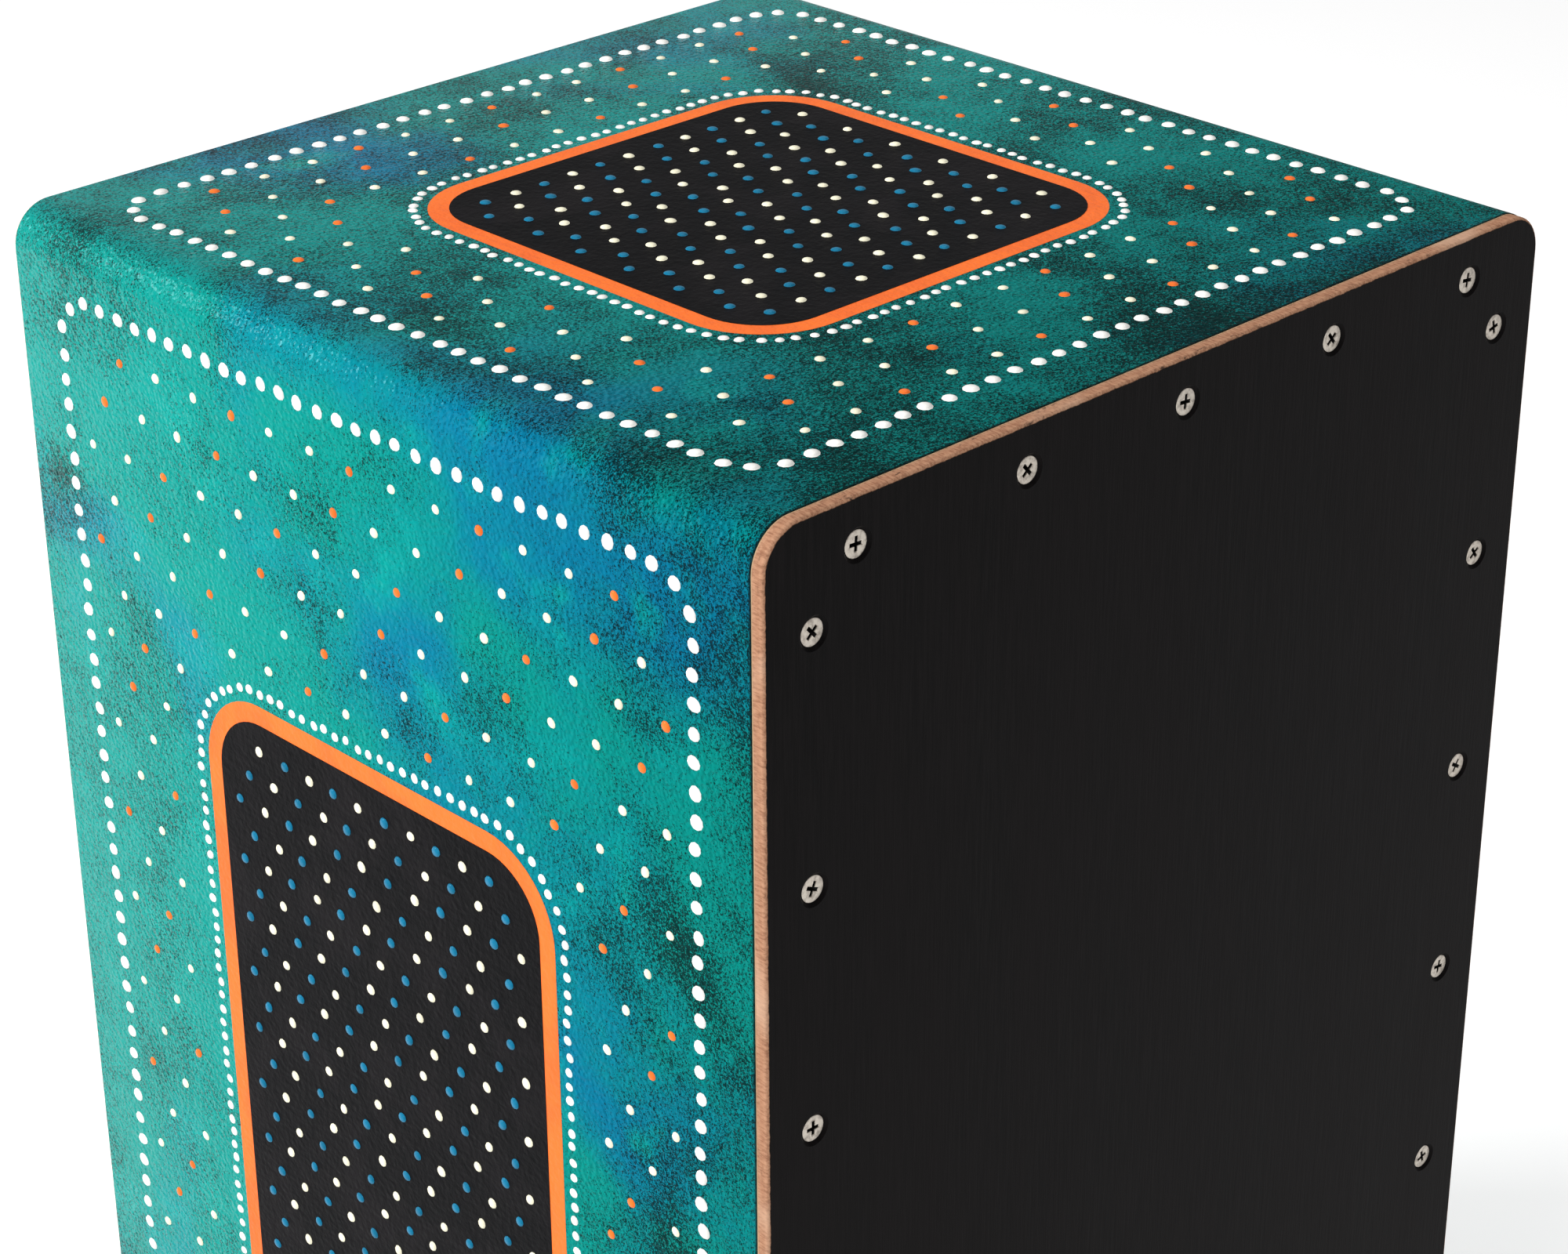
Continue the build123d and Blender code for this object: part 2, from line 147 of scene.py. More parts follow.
class CajonStage(bpy.types.PropertyGroup):
    """Camera and lights."""

    lens: FloatProperty(name="Lens", description="Focal length in millimetres", default=85.3)
    camera: FloatVectorProperty(
        name="Camera", description="Camera's place", subtype="TRANSLATION", default=(-0.678, -0.702, 0.851)
    )
    aim: FloatVectorProperty(
        name="Aim", description="Direction the camera looks in", subtype="DIRECTION",
        default=(0.622, 0.641, -0.450),
    )
    roll: FloatProperty(name="Roll", description="Camera roll", default=0.006, subtype="ANGLE")
    key: FloatProperty(name="Key", description="Power of the left side's light", default=72.0, unit="POWER")
    fill: FloatProperty(name="Fill", description="Power of the light overhead", default=24.0, unit="POWER")
    back: FloatProperty(name="Back", description="Power of the light behind", default=40.0, unit="POWER")
    air: FloatProperty(name="Air", description="Strength of the light from all round", default=0.42)


# ---- Shaders -------------------------------------------------------------------------------------


def add(tree, kind, inputs=None, **settings):
    """Adds a node, sets its settings, and sets or links each input."""
    node = tree.nodes.new(kind)
    for key, value in settings.items():
        setattr(node, key, value)
    for key, value in (inputs or {}).items():
        if isinstance(value, bpy.types.NodeSocket):
            tree.links.new(value, node.inputs[key])
        else:
            node.inputs[key].default_value = value
    return node


def calc(tree, operation, first, second=0.0, third=0.0):
    """A Math node's result."""
    return add(tree, "ShaderNodeMath", {0: first, 1: second, 2: third}, operation=operation).outputs[0]


def fade(tree, value, low, high):
    """0 below low, 1 above high, smooth between."""
    inputs = {"Value": value, "From Min": low, "From Max": high}
    return add(tree, "ShaderNodeMapRange", inputs, interpolation_type="SMOOTHSTEP").outputs["Result"]


def blend(tree, factor, first, second, kind="MIX"):
    """A Mix node's colour."""
    first = (*first, 1.0) if isinstance(first, (tuple, list)) and len(first) == 3 else first
    second = (*second, 1.0) if isinstance(second, (tuple, list)) and len(second) == 3 else second
    inputs = {0: factor, 6: first, 7: second}
    return add(tree, "ShaderNodeMix", inputs, data_type="RGBA", blend_type=kind).outputs[2]


def place(tree, scale=(1.0, 1.0, 1.0), turn=(0.0, 0.0, 0.0)):
    """Object coordinates, stretched or turned."""
    coords = add(tree, "ShaderNodeTexCoord").outputs["Object"]
    return add(tree, "ShaderNodeMapping", {"Vector": coords, "Scale": scale, "Rotation": turn}).outputs[0]


def noise(tree, vector, scale, detail=2.0, rough=0.5, distortion=0.0):
    """A noise texture's value."""
    inputs = {
        "Vector": vector, "Scale": scale, "Detail": detail, "Roughness": rough, "Distortion": distortion,
    }
    return add(tree, "ShaderNodeTexNoise", inputs).outputs[0]


def bump(tree, height, distance, strength=1.0, under=None):
    """A bump of that depth in metres, on top of another one."""
    inputs = {"Height": height, "Distance": distance, "Strength": strength}
    if under is not None:
        inputs["Normal"] = under
    return add(tree, "ShaderNodeBump", inputs).outputs[0]


def axes(tree):
    """The separate X, Y and Z of the object coordinates."""
    coords = add(tree, "ShaderNodeTexCoord").outputs["Object"]
    return add(tree, "ShaderNodeSeparateXYZ", {0: coords}).outputs


def finish(name, **sockets):
    """A new material, its tree and its shader, with the constant values set on the shader."""
    material = bpy.data.materials.new(name)
    material.use_nodes = True
    tree = material.node_tree
    shader = tree.nodes["Principled BSDF"]
    for key, value in sockets.items():
        shader.inputs[key.replace("_", " ")].default_value = value
    return material, tree, shader


def join(tree, shader, **sockets):
    """Links sockets into the shader."""
    for key, socket in sockets.items():
        tree.links.new(socket, shader.inputs[key.replace("_", " ")])


def ground_paint(paint):
    """The teal ground with its cloudy blue patches, black spray and leathery skin, and painted shade that darkens
    the top.
    """
    material, tree, shader = finish(
        "ground_paint", IOR=1.46, Specular_IOR_Level=0.13, Specular_Tint=(0.25, 0.85, 0.92, 1.0)
    )
    coords = place(tree)
    _, y, z = axes(tree)
    clouds = noise(tree, coords, 8.5, 2.0, 0.5, 0.4)
    fine_clouds = noise(tree, coords, 34.0, 3.0, 0.6)
    patches = calc(tree, "MULTIPLY_ADD", fine_clouds, 0.30, clouds)
    ground = blend(tree, fade(tree, patches, 0.635, 0.90), tuple(paint.teal), tuple(paint.blue))
    light = tuple(c * 1.22 for c in paint.teal)
    ground = blend(tree, fade(tree, fine_clouds, 0.50, 0.80), ground, light)
    grain = noise(tree, coords, 2100.0, 2.0, 0.75)
    flecks = noise(tree, coords, 900.0, 2.0, 0.7)
    cover = noise(tree, coords, 21.0, 4.0, 0.68)
    to_front = fade(tree, y, SHELL_FRONT + 0.075, SHELL_FRONT)
    on_top = fade(tree, z, SHELL_TOP - 0.0042, SHELL_TOP - 0.0003)
    cover = calc(tree, "MULTIPLY_ADD", to_front, 0.13, cover)
    cover = calc(tree, "MULTIPLY_ADD", on_top, 0.10, cover)
    spray = calc(tree, "MULTIPLY_ADD", flecks, 0.35, grain)
    spray = calc(tree, "MULTIPLY_ADD", cover, 0.62, spray)
    speckle = calc(tree, "MULTIPLY", fade(tree, spray, 1.035, 1.115), 0.90)
    # Painted shade: on the top face the ground is blended towards a darker blue-teal, so the top reads dimmer than
    # the sides.
    painted_top_shade = blend(tree, calc(tree, "MULTIPLY", on_top, 0.30), ground, (0.012, 0.125, 0.150))
    coloured = blend(tree, speckle, painted_top_shade, tuple(paint.black))
    # A dark line along the coat's front edge where it meets the plate: partly the joint's own dark line, partly
    # painted shade in the gap between the parts.
    rim = fade(tree, calc(tree, "MULTIPLY_ADD", grain, 0.0010, y), SHELL_FRONT + 0.0014, SHELL_FRONT + 0.0006)
    coloured = blend(tree, calc(tree, "MULTIPLY", rim, 0.9), coloured, tuple(paint.black))
    pebbles = add(
        tree, "ShaderNodeTexVoronoi", {"Vector": coords, "Scale": 760.0, "Smoothness": 0.7},
        feature="SMOOTH_F1",
    ).outputs["Distance"]
    skin = bump(tree, pebbles, 0.00060, 0.70)
    peel = noise(tree, coords, 330.0, 3.0, 0.6)
    skin = bump(tree, peel, 0.00060, 0.42, skin)
    gloss = calc(tree, "MULTIPLY_ADD", cover, 0.16, 0.19)
    join(tree, shader, Base_Color=coloured, Normal=skin, Roughness=gloss)
    return material


def shape_paint(name, main, tint, amount, rough=0.42, shine=0.13):
    """Brushed acrylic on a painted shape: one colour drifting into another, with brush ridges."""
    material, tree, shader = finish(
        name, Roughness=rough, IOR=1.46, Specular_IOR_Level=shine,
        Specular_Tint=(*(0.3 + 0.7 * c for c in main), 1.0),
    )
    coords = place(tree)
    drift = fade(tree, noise(tree, coords, 34.0, 3.0, 0.6, 0.6), 0.42, 0.66)
    painted = blend(tree, calc(tree, "MULTIPLY", drift, amount), tuple(main), tuple(tint))
    ridges = noise(tree, place(tree, (1.0, 0.4, 1.0)), 420.0, 3.0, 0.6)
    worn = blend(tree, calc(tree, "MULTIPLY", ridges, 0.14), painted, (0.02, 0.02, 0.02))
    peel = noise(tree, coords, 560.0, 2.0, 0.5)
    skin = bump(tree, peel, 0.00040, 0.7, bump(tree, ridges, 0.00026, 0.6))
    join(tree, shader, Base_Color=worn, Normal=skin)
    return material


def dot_paint(name, main, shine=0.28):
    """Thick glossy acrylic of a dot, a little uneven in tone from dot to dot."""
    material, tree, shader = finish(
        name, Roughness=0.30, IOR=1.48, Specular_IOR_Level=shine,
        Specular_Tint=(*(0.3 + 0.7 * c for c in main), 1.0),
    )
    coords = place(tree)
    tone = noise(tree, coords, 150.0, 1.0)
    shade = tuple(c * 0.82 for c in main)
    painted = blend(tree, fade(tree, tone, 0.30, 0.62), shade, tuple(main))
    skin = bump(tree, noise(tree, coords, 1100.0, 2.0), 0.00006, 0.6)
    join(tree, shader, Base_Color=painted, Normal=skin)
    return material


def rounded_inset(tree, half_width, half_height, radius):
    """How far a point lies inside the plates' rounded outline, in metres."""
    x, _, z = axes(tree)
    across = calc(tree, "SUBTRACT", calc(tree, "ABSOLUTE", x), half_width - radius)
    rise = calc(tree, "ABSOLUTE", calc(tree, "SUBTRACT", z, SHELL_MIDDLE_Z))
    rise = calc(tree, "SUBTRACT", rise, half_height - radius)
    corner_x = calc(tree, "MAXIMUM", across, 0.0)
    corner_z = calc(tree, "MAXIMUM", rise, 0.0)
    reach = calc(tree, "POWER", corner_x, 2.0)
    reach = calc(tree, "SQRT", calc(tree, "ADD", reach, calc(tree, "POWER", corner_z, 2.0)))
    flat = calc(tree, "MINIMUM", calc(tree, "MAXIMUM", across, rise), 0.0)
    return calc(tree, "SUBTRACT", radius, calc(tree, "ADD", reach, flat))


def ply_edge(tree, wood, face, thickness, inward):
    """The colour of bare three-layer ply and its fibres, from the stained face inwards along Y."""
    _, y, z = axes(tree)
    below = calc(tree, "MULTIPLY", calc(tree, "SUBTRACT", y, face), inward)
    depth = calc(tree, "DIVIDE", below, thickness)
    wobble = noise(tree, place(tree), 60.0, 2.0)
    depth = calc(tree, "MULTIPLY_ADD", wobble, 0.10, depth)
    core = calc(tree, "MULTIPLY", fade(tree, depth, 0.34, 0.44), fade(tree, depth, 0.76, 0.66))
    layers = blend(tree, calc(tree, "MULTIPLY", core, 0.45), tuple(wood.ply), tuple(wood.ply_core))
    fibres = noise(tree, place(tree, (1.0, 0.22, 1.0)), 1500.0, 3.0, 0.7)
    streaks = calc(tree, "MULTIPLY", fade(tree, fibres, 0.38, 0.68), 0.75)
    layers = blend(tree, streaks, layers, (0.19, 0.080, 0.045))
    pale = fade(tree, noise(tree, place(tree), 26.0, 3.0), 0.52, 0.66)
    layers = blend(tree, calc(tree, "MULTIPLY", pale, 0.5), layers, (0.55, 0.37, 0.26))
    # Dark stain smears on the ply edge; along the top edge they are made heavier as painted shade, so the
    # upward-facing strip reads darker.
    stain_smear_and_top_shade = fade(tree, noise(tree, place(tree, (1.0, 2.2, 1.0)), 170.0, 5.0, 0.78), 0.585, 0.70)
    on_top = fade(tree, z, SHELL_TOP - 0.010, SHELL_TOP - 0.001)
    stain_smear_and_top_shade = calc(tree, "MULTIPLY", stain_smear_and_top_shade, calc(tree, "MULTIPLY_ADD", on_top, 0.60, 0.25))
    layers = blend(tree, stain_smear_and_top_shade, layers, (0.018, 0.013, 0.012))
    line = calc(tree, "MULTIPLY_ADD", wobble, 0.0006, below)
    layers = blend(tree, fade(tree, line, thickness, thickness + 0.0003), layers, (0.01, 0.01, 0.01))
    veneer = noise(tree, place(tree, (1.0, 1.0, 0.06)), 260.0, 4.0, 0.6)
    bare = blend(tree, fade(tree, veneer, 0.35, 0.70), tuple(wood.birch), (0.42, 0.27, 0.15))
    return blend(tree, fade(tree, below, thickness - 0.0004, thickness - 0.0001), layers, bare), fibres, below


def stained_plate(name, wood, face, thickness, inward, corner, hole=None):
    """Black-stained ply: an open-pored satin face, and bare layers round its edges."""
    material, tree, shader = finish(name, IOR=1.45, Specular_IOR_Level=0.05)
    half_width, half_height = (SHELL_RIGHT - SHELL_LEFT) / 2, (SHELL_TOP - SHELL_BOTTOM) / 2
    if hole:
        inset = hole_inset(tree, *hole)
    else:
        inset = rounded_inset(tree, half_width, half_height, corner)
    ragged = noise(tree, place(tree), 420.0, 3.0, 0.7)
    inset = calc(tree, "MULTIPLY_ADD", calc(tree, "SUBTRACT", ragged, 0.5), 0.0007, inset)
    edge, fibres, below = ply_edge(tree, wood, face, thickness, inward)
    stained = fade(tree, inset, 0.00050, 0.00085)
    stained = calc(tree, "MULTIPLY", stained, fade(tree, below, thickness - 0.0004, thickness - 0.0008))
    pores = noise(tree, place(tree, (1.0, 1.0, 0.045)), 900.0, 4.0, 0.7)
    bands = noise(tree, place(tree, (1.0, 1.0, 0.12)), 42.0, 4.0, 0.6, 0.4)
    tone = blend(tree, fade(tree, pores, 0.35, 0.72), tuple(wood.stain), (0.0046, 0.0036, 0.0037))
    banded = calc(tree, "MULTIPLY", fade(tree, bands, 0.35, 0.70), 0.6)
    tone = blend(tree, banded, tone, (0.0050, 0.0038, 0.0039))
    colour_out = blend(tree, stained, edge, tone)
    skin = bump(tree, pores, 0.00012, 0.5, bump(tree, bands, 0.0003, 0.25))
    skin = bump(tree, fibres, 0.00005, 0.4, skin)
    rough = calc(tree, "MULTIPLY_ADD", bands, 0.16, 0.40)
    rough = calc(tree, "MULTIPLY_ADD", calc(tree, "SUBTRACT", 1.0, stained), 0.25, rough)
    join(tree, shader, Base_Color=colour_out, Normal=skin, Roughness=rough)
    return material


def hole_inset(tree, centre_z, radius):
    """How far a point lies outside a round hole through a plate, in metres."""
    x, _, z = axes(tree)
    rise = calc(tree, "SUBTRACT", z, centre_z)
    reach = calc(tree, "ADD", calc(tree, "POWER", x, 2.0), calc(tree, "POWER", rise, 2.0))
    return calc(tree, "SUBTRACT", calc(tree, "SQRT", reach), radius)


def bare_wood(name, main, along, ring=26.0, rough=0.62):
    """Planed wood with its grain along one axis: growth bands, fibres and small pores."""
    material, tree, shader = finish(name, IOR=1.45, Specular_IOR_Level=0.35)
    squash = [1.0, 1.0, 1.0]
    squash["XYZ".index(along)] = 0.07
    bands = noise(tree, place(tree, tuple(squash)), ring * 2.2, 5.0, 0.55, 0.8)
    rings = calc(tree, "FRACT", calc(tree, "MULTIPLY", bands, 9.0))
    rings = calc(tree, "MULTIPLY", fade(tree, rings, 0.0, 0.8), fade(tree, rings, 1.0, 0.86))
    squash["XYZ".index(along)] = 0.03
    fibres = noise(tree, place(tree, tuple(squash)), 700.0, 4.0, 0.65)
    late = tuple(c * f for c, f in zip(main, (0.70, 0.60, 0.50)))
    grain = blend(tree, calc(tree, "MULTIPLY", rings, 0.55), tuple(main), late)
    grain = blend(tree, calc(tree, "MULTIPLY", fade(tree, fibres, 0.45, 0.80), 0.45), grain, late)
    skin = bump(tree, fibres, 0.00008, 0.6)
    gloss = calc(tree, "MULTIPLY_ADD", fibres, 0.2, rough - 0.1)
    join(tree, shader, Base_Color=grain, Normal=skin, Roughness=gloss)
    return material


def metal(name, main, rough, dirt=0.35):
    """Plated or drawn metal with fine scratches and dull patches."""
    material, tree, shader = finish(name, Metallic=1.0)
    patches = noise(tree, place(tree), 420.0, 4.0, 0.6)
    scratches = noise(tree, place(tree, (1.0, 1.0, 12.0), (0.4, 0.3, 0.8)), 1300.0, 2.0, 0.7)
    dull = tuple(c * (1.0 - dirt) for c in main)
    tone = blend(tree, fade(tree, patches, 0.42, 0.70), tuple(main), dull)
    gloss = calc(tree, "MULTIPLY_ADD", patches, 0.22, rough - 0.08)
    skin = bump(tree, scratches, 0.00003, 0.5)
    join(tree, shader, Base_Color=tone, Roughness=gloss, Normal=skin)
    return material


def screw_metal(face, outward):
    """Dull nickel, with painted shade darkening its cross recess."""
    material, tree, shader = finish(f"screw_nickel_{'front' if outward < 0 else 'rear'}", Metallic=0.85)
    y = axes(tree)["Y"]
    depth = calc(tree, "MULTIPLY", calc(tree, "SUBTRACT", face, y), outward)
    # Painted shade: the metal from just below the head's face to about 4 mm down, which shows only in the cross
    # recess, is darkened to near black.
    recess = fade(tree, depth, 0.00012, 0.00030)
    patches = noise(tree, place(tree), 700.0, 4.0, 0.65)
    tone = blend(tree, fade(tree, patches, 0.40, 0.72), (0.60, 0.545, 0.475), (0.34, 0.30, 0.26))
    away = calc(tree, "GREATER_THAN", depth, 0.0042)
    recess = calc(tree, "MULTIPLY", recess, calc(tree, "SUBTRACT", 1.0, away))
    tone = blend(tree, recess, tone, (0.006, 0.0055, 0.0055))
    gloss = calc(tree, "MULTIPLY_ADD", patches, 0.25, 0.30)
    skin = bump(tree, patches, 0.00006, 0.6)
    join(tree, shader, Base_Color=tone, Roughness=gloss, Normal=skin)
    return material


def rubber(name, main):
    """Matt moulded rubber with a fine spark-eroded texture and dusty scuffs."""
    material, tree, shader = finish(name, IOR=1.5, Specular_IOR_Level=0.4)
    texture = noise(tree, place(tree), 1500.0, 3.0, 0.6)
    scuffs = noise(tree, place(tree), 260.0, 5.0, 0.7)
    dusty = tuple(c * 2.6 + 0.01 for c in main)
    tone = blend(tree, calc(tree, "MULTIPLY", fade(tree, scuffs, 0.52, 0.75), 0.5), tuple(main), dusty)
    gloss = calc(tree, "MULTIPLY_ADD", scuffs, 0.25, 0.55)
    join(tree, shader, Base_Color=tone, Roughness=gloss, Normal=bump(tree, texture, 0.00008, 0.6))
    return material


# ---- Meshes ------------------------------------------------------------------------------------------


def to_piece(bm, name, material, body="shell", sharp=None):
    """Makes a bmesh into a piece that rides on a body."""
    mesh = bpy.data.meshes.new(name)
    for face in bm.faces:
        face.smooth = True
    bm.to_mesh(mesh)
    bm.free()
    if sharp is not None:
        mesh.set_sharp_from_angle(angle=math.radians(sharp))
    piece = bpy.data.objects.new(name, mesh)
    bpy.context.scene.collection.objects.link(piece)
    mesh.materials.append(material)
    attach(piece, body)
    return piece


def give(node, material):
    """Gives a CAD node's object a finish."""
    slots = frame["nodes"][node].data.materials
    slots.clear()
    slots.append(material)


def on_shell(run, depth):
    """A point on the shell's outside and the outward normal there.

    run is counted from the middle of the top, positive to the right, round a corner and down a side.
    depth is counted from the front edge. All are metres.
    """
    radius = bpy.context.scene.cajon_paint.corner
    flat = SHELL_RIGHT - radius
    side = math.copysign(1.0, run)
    turn = min(max((abs(run) - flat) / radius, 0.0), math.pi / 2)
    normal = Vector((side * math.sin(turn), 0.0, math.cos(turn)))
    if abs(run) <= flat:
        start = Vector((run, 0.0, SHELL_TOP - radius))
    else:
        drop = max(abs(run) - flat - radius * math.pi / 2, 0.0)
        start = Vector((side * flat, 0.0, SHELL_TOP - radius - drop))
    point = start + normal * radius
    point.y = SHELL_FRONT + depth
    return point, normal


def on_face(face, x, y):
    """A point and normal on the shell for a chart place in millimetres."""
    radius = bpy.context.scene.cajon_paint.corner
    edge = SHELL_RIGHT - radius + radius * math.pi / 2 - radius
    if face == "top":
        return on_shell(SHELL_LEFT + x * MM, (FACE_DEPTH - y) * MM)
    if face == "left":
        return on_shell(-(edge + y * MM), (FACE_DEPTH - x) * MM)
    return on_shell(edge + y * MM, x * MM)


# ---- Outlines, in millimetres on a chart ---------------------------------------------------------------


def rounded(middle, size, radius, count=12):
    """A rectangle of that size about a middle, with round corners."""
    outline = []
    for quarter, (side, end) in enumerate(((1, 1), (-1, 1), (-1, -1), (1, -1))):
        centre = middle + Vector((side * (size.x / 2 - radius), end * (size.y / 2 - radius)))
        for step in range(count + 1):
            angle = math.pi / 2 * (quarter + step / count)
            outline.append(centre + Vector((math.cos(angle), math.sin(angle))) * radius)
    return outline


def spaced(outline, pitch):
    """Places at an even pitch along a closed outline."""
    line = [*outline, outline[0]]
    runs = [(b - a).length for a, b in zip(line, line[1:])]
    total = sum(runs)
    count = max(round(total / pitch), 1)
    places, travelled, leg = [], 0.0, 0
    for step in range(count):
        want = total * step / count
        while leg < len(runs) - 1 and travelled + runs[leg] < want:
            travelled += runs[leg]
            leg += 1
        places.append(line[leg].lerp(line[leg + 1], min((want - travelled) / runs[leg], 1.0)))
    return places


def inside(point, outline):
    """True if a point lies inside an outline."""
    hit = False
    for a, b in zip(outline, [*outline[1:], outline[0]]):
        if (a.y > point.y) != (b.y > point.y):
            if point.x < (b.x - a.x) * (point.y - a.y) / (b.y - a.y) + a.x:
                hit = not hit
    return hit


# ---- The pattern on each face --------------------------------------------------------------------------

# In millimetres: the border's distance from a face's edges, the panel's share of the face and its
# round corners, its rim, and how far dots keep from an edge that is already drawn
BORDER_INSET, BORDER_CORNER = 20.0, 14.0
PANEL_SHARE, PANEL_CORNER, PANEL_RIM = 0.50, 26.0, 6.0
OUTLINE_GAP, CLEAR_OF_EDGE = 4.0, 9.0
BORDER_DOT, BORDER_PITCH = 4.2, 8.0
OUTLINE_DOT, OUTLINE_PITCH = 2.9, 4.8
FIELD_DOT, FIELD_PITCH = 3.2, 11.0
LOOSE_DOT, LOOSE_PITCH = 3.0, 17.0
ROW_RISE, HAND_SLIP = 0.87, 0.5


class Pattern:
    """One face's plain pattern, gathered as shapes and dots before they are made into pieces."""

    def __init__(self, face, seed):
        self.face = face
        self.chance = random.Random(f"{face}{seed}")
        self.size = Vector((FACE_WIDTH, FACE_DEPTH) if face == "top" else (FACE_DEPTH, FACE_HEIGHT))
        self.middle = self.size / 2
        self.dots = {}
        self.plates = []
        self.border()
        self.panel()

    def dot(self, kind, spot, across, layer=0):
        """Adds one dot, a little off its place and size as a hand sets it."""
        aside = self.chance.uniform(-HAND_SLIP, HAND_SLIP)
        down = self.chance.uniform(-HAND_SLIP, HAND_SLIP)
        width = across * self.chance.uniform(0.93, 1.07)
        self.dots.setdefault(kind, []).append((spot + Vector((aside, down)), width, layer))

    def rows(self, kinds, area, hole, across, pitch, layer=0):
        """Even rows of dots in an area but not in its hole, each row half a step on from the last."""
        reach = int(self.size.length / pitch)
        for line in range(-reach, reach + 1):
            for column in range(-reach, reach + 1):
                spot = self.middle + Vector((column + 0.5 * (line % 2), line * ROW_RISE)) * pitch
                if inside(spot, area) and not (hole and inside(spot, hole)):
                    self.dot(kinds[(column + line) % len(kinds)], spot, across, layer)

    def border(self):
        """A line of white dots that follows the face's edges."""
        size = self.size - Vector((BORDER_INSET, BORDER_INSET)) * 2
        for spot in spaced(rounded(self.middle, size, BORDER_CORNER), BORDER_PITCH):
            self.dot("white", spot, BORDER_DOT)

    def panel(self):
        """A black panel in the face's middle with a warm rim, and rows of dots on it and round it."""

        def outline(inset):
            size = self.size * PANEL_SHARE - Vector((inset, inset)) * 2
            return rounded(self.middle, size, PANEL_CORNER - inset)

        self.plates.append(("orange", outline(0.0), 1))
        self.plates.append(("black", outline(PANEL_RIM), 2))
        for spot in spaced(outline(-OUTLINE_GAP), OUTLINE_PITCH):
            self.dot("white", spot, OUTLINE_DOT)
        field = outline(PANEL_RIM + CLEAR_OF_EDGE / 2)
        self.rows(("cream", "dot_blue"), field, None, FIELD_DOT, FIELD_PITCH, 2)
        keep_in = self.size - Vector((BORDER_INSET + CLEAR_OF_EDGE, BORDER_INSET + CLEAR_OF_EDGE)) * 2
        area = rounded(self.middle, keep_in, BORDER_CORNER)
        hole = outline(-OUTLINE_GAP - CLEAR_OF_EDGE)
        self.rows(("cream", "orange", "cream"), area, hole, LOOSE_DOT, LOOSE_PITCH)


def dome(height):
    """A unit dot: a low dome on a flat base, kept as a mesh to copy from."""
    bm = bmesh.new()
    bmesh.ops.create_uvsphere(bm, u_segments=10, v_segments=6, radius=1.0)
    everything = [*bm.verts, *bm.edges, *bm.faces]
    cut = bmesh.ops.bisect_plane(
        bm, geom=everything, plane_co=(0, 0, 0), plane_no=(0, 0, -1), clear_outer=True,
    )
    rim = [item for item in cut["geom_cut"] if isinstance(item, bmesh.types.BMEdge)]
    bmesh.ops.contextual_create(bm, geom=rim or [e for e in bm.edges if e.is_boundary])
    bmesh.ops.scale(bm, vec=(1.0, 1.0, height), verts=bm.verts)
    bmesh.ops.recalc_face_normals(bm, faces=bm.faces)
    mesh = bpy.data.meshes.new("dome")
    bm.to_mesh(mesh)
    bm.free()
    return mesh


def stamp(bm, mesh, matrix):
    """Adds a copy of a mesh to a bmesh at a place."""
    copy = mesh.copy()
    copy.transform(matrix)
    bm.from_mesh(copy)
    bpy.data.meshes.remove(copy)


# ---- Operators -----------------------------------------------------------------------------------------


class CajonOperator:
    """What every operator of this file shares."""

    bl_options = {"REGISTER", "UNDO"}


class CAJON_OT_stage(CajonOperator, bpy.types.Operator):
    """Plain pale floor, soft lights and the camera"""

    bl_idname = "cajon.stage"
    bl_label = "Stage"

    def execute(self, context):
        scene = context.scene
        stage = scene.cajon_stage
        bm = bmesh.new()
        bmesh.ops.create_grid(bm, x_segments=1, y_segments=1, size=FLOOR_REACH)
        bmesh.ops.translate(bm, vec=(0.0, 0.0, -FLOOR_DROP), verts=bm.verts)
        mesh = bpy.data.meshes.new("floor")
        bm.to_mesh(mesh)
        bm.free()
        floor = bpy.data.objects.new("floor", mesh)
        scene.collection.objects.link(floor)
        material, _, shader = finish("floor_paper", Roughness=0.9, Specular_IOR_Level=0.0)
        shader.inputs["Base Color"].default_value = (FLOOR_GREY, FLOOR_GREY, FLOOR_GREY, 1.0)
        shader.inputs["Emission Color"].default_value = (1.0, 1.0, 1.0, 1.0)
        shader.inputs["Emission Strength"].default_value = FLOOR_GLOW
        mesh.materials.append(material)
        for name, spot, wide in LAMPS:
            self.lamp(scene, name, spot, getattr(stage, name), wide)
        world = bpy.data.worlds.new("studio")
        scene.world = world
        world.use_nodes = True
        air = world.node_tree.nodes["Background"]
        air.inputs["Color"].default_value = (1.0, 1.0, 1.0, 1.0)
        air.inputs["Strength"].default_value = stage.air
        scene.view_settings.view_transform = "Standard"
        camera = bpy.data.objects.new("camera", bpy.data.cameras.new("camera"))
        scene.collection.objects.link(camera)
        camera.data.sensor_width = SENSOR_WIDTH
        camera.data.lens = stage.lens
        camera.rotation_mode = "QUATERNION"
        camera.location = stage.camera
        level = Vector(stage.aim).to_track_quat("-Z", "Y")
        camera.rotation_quaternion = level @ Quaternion((0.0, 0.0, 1.0), -stage.roll)
        scene.camera = camera
        return {"FINISHED"}

    @staticmethod
    def lamp(scene, name, spot, power, size):
        """A square soft light that faces the box."""
        light = bpy.data.lights.new(name, "AREA")
        light.energy = power
        light.size = size
        lamp = bpy.data.objects.new(name, light)
        scene.collection.objects.link(lamp)
        lamp.location = spot
        lamp.rotation_mode = "QUATERNION"
        aim = Vector((0.0, 0.0, SHELL_MIDDLE_Z)) - Vector(spot)
        lamp.rotation_quaternion = aim.to_track_quat("-Z", "Y")


